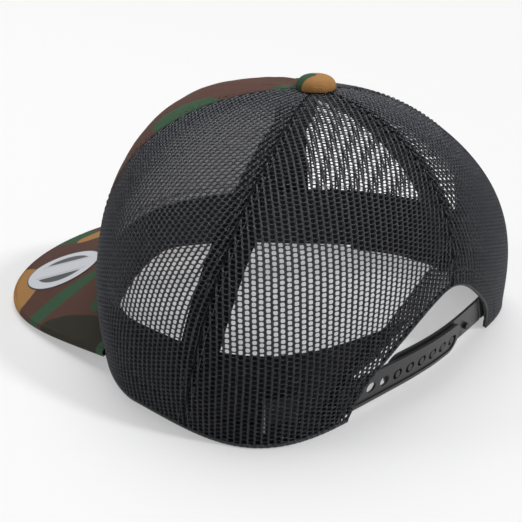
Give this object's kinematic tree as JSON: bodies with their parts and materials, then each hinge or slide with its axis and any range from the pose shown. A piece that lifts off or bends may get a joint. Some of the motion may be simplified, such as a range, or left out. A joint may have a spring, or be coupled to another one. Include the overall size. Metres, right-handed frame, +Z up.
{
  "type": "trucker mesh cap",
  "caption": "Structured cap with a patterned cloth front and curved visor, mesh sides and back, an arched opening and a snap strap of two flexing halves.",
  "frame": {"origin": "on the table plane, under the middle of the crown's widest line, where the rim stands", "axes": "+Z up through the button, -Y towards the visor, +X the wearer's left"},
  "size_m": [0.1916, 0.2192, 0.1118],
  "materials": {
    "camo_cloth": "woven twill, woodland pattern",
    "lining_cloth": "stiffened pale cotton",
    "mesh": "knitted synthetic net, slightly glossy",
    "mesh_binding": "folded net",
    "cotton_tape": "plain cotton tape",
    "sweatband_cloth": "cotton twill",
    "label_cloth": "smooth woven tape",
    "board_plastic": "flexible sheet",
    "foil": "silvery printed sticker",
    "steel": "pressed sheet",
    "strap_plastic": "satin moulded plastic"
  },
  "bodies": {
    "cap": {"front_panel": "camo_cloth", "front_lining": "lining_cloth", "side_panel_left": "mesh", "side_panel_right": "mesh", "back_panel_left": "mesh", "back_panel_right": "mesh", "seam_tape_front_left": "cotton_tape", "seam_tape_front_right": "cotton_tape", "seam_tape_side_left": "cotton_tape", "seam_tape_side_right": "cotton_tape", "seam_tape_back": "cotton_tape", "arch_binding": "mesh_binding", "sweatband": "sweatband_cloth", "forehead_pad": "lining_cloth", "size_label": "label_cloth", "visor_board": "board_plastic", "visor_under_cover": "camo_cloth", "visor_top_cover": "camo_cloth", "visor_sticker": "foil", "button_cap": "camo_cloth", "button_prong": "steel", "button_washer": "steel", "strap_tab_left": "strap_plastic", "strap_tab_right": "strap_plastic"},
    "strap_outer": {"strap_outer": "strap_plastic"},
    "strap_inner": {"strap_inner": "strap_plastic"}
  },
  "joints": [
    {"name": "strap_outer_flex", "type": "hinge", "parent": "cap", "child": "strap_outer", "pos_m": [0.04255, 0.06996, 0.0105], "axis": [0.5736, -0.1966, -0.7952], "range_deg": [0, 35], "stiffness_Nm_per_rad": 0.01},
    {"name": "strap_inner_flex", "type": "hinge", "parent": "cap", "child": "strap_inner", "pos_m": [-0.04255, 0.06802, 0.0105], "axis": [-0.5738, -0.1952, -0.7954], "range_deg": [0, 12], "stiffness_Nm_per_rad": 0.01}
  ]
}
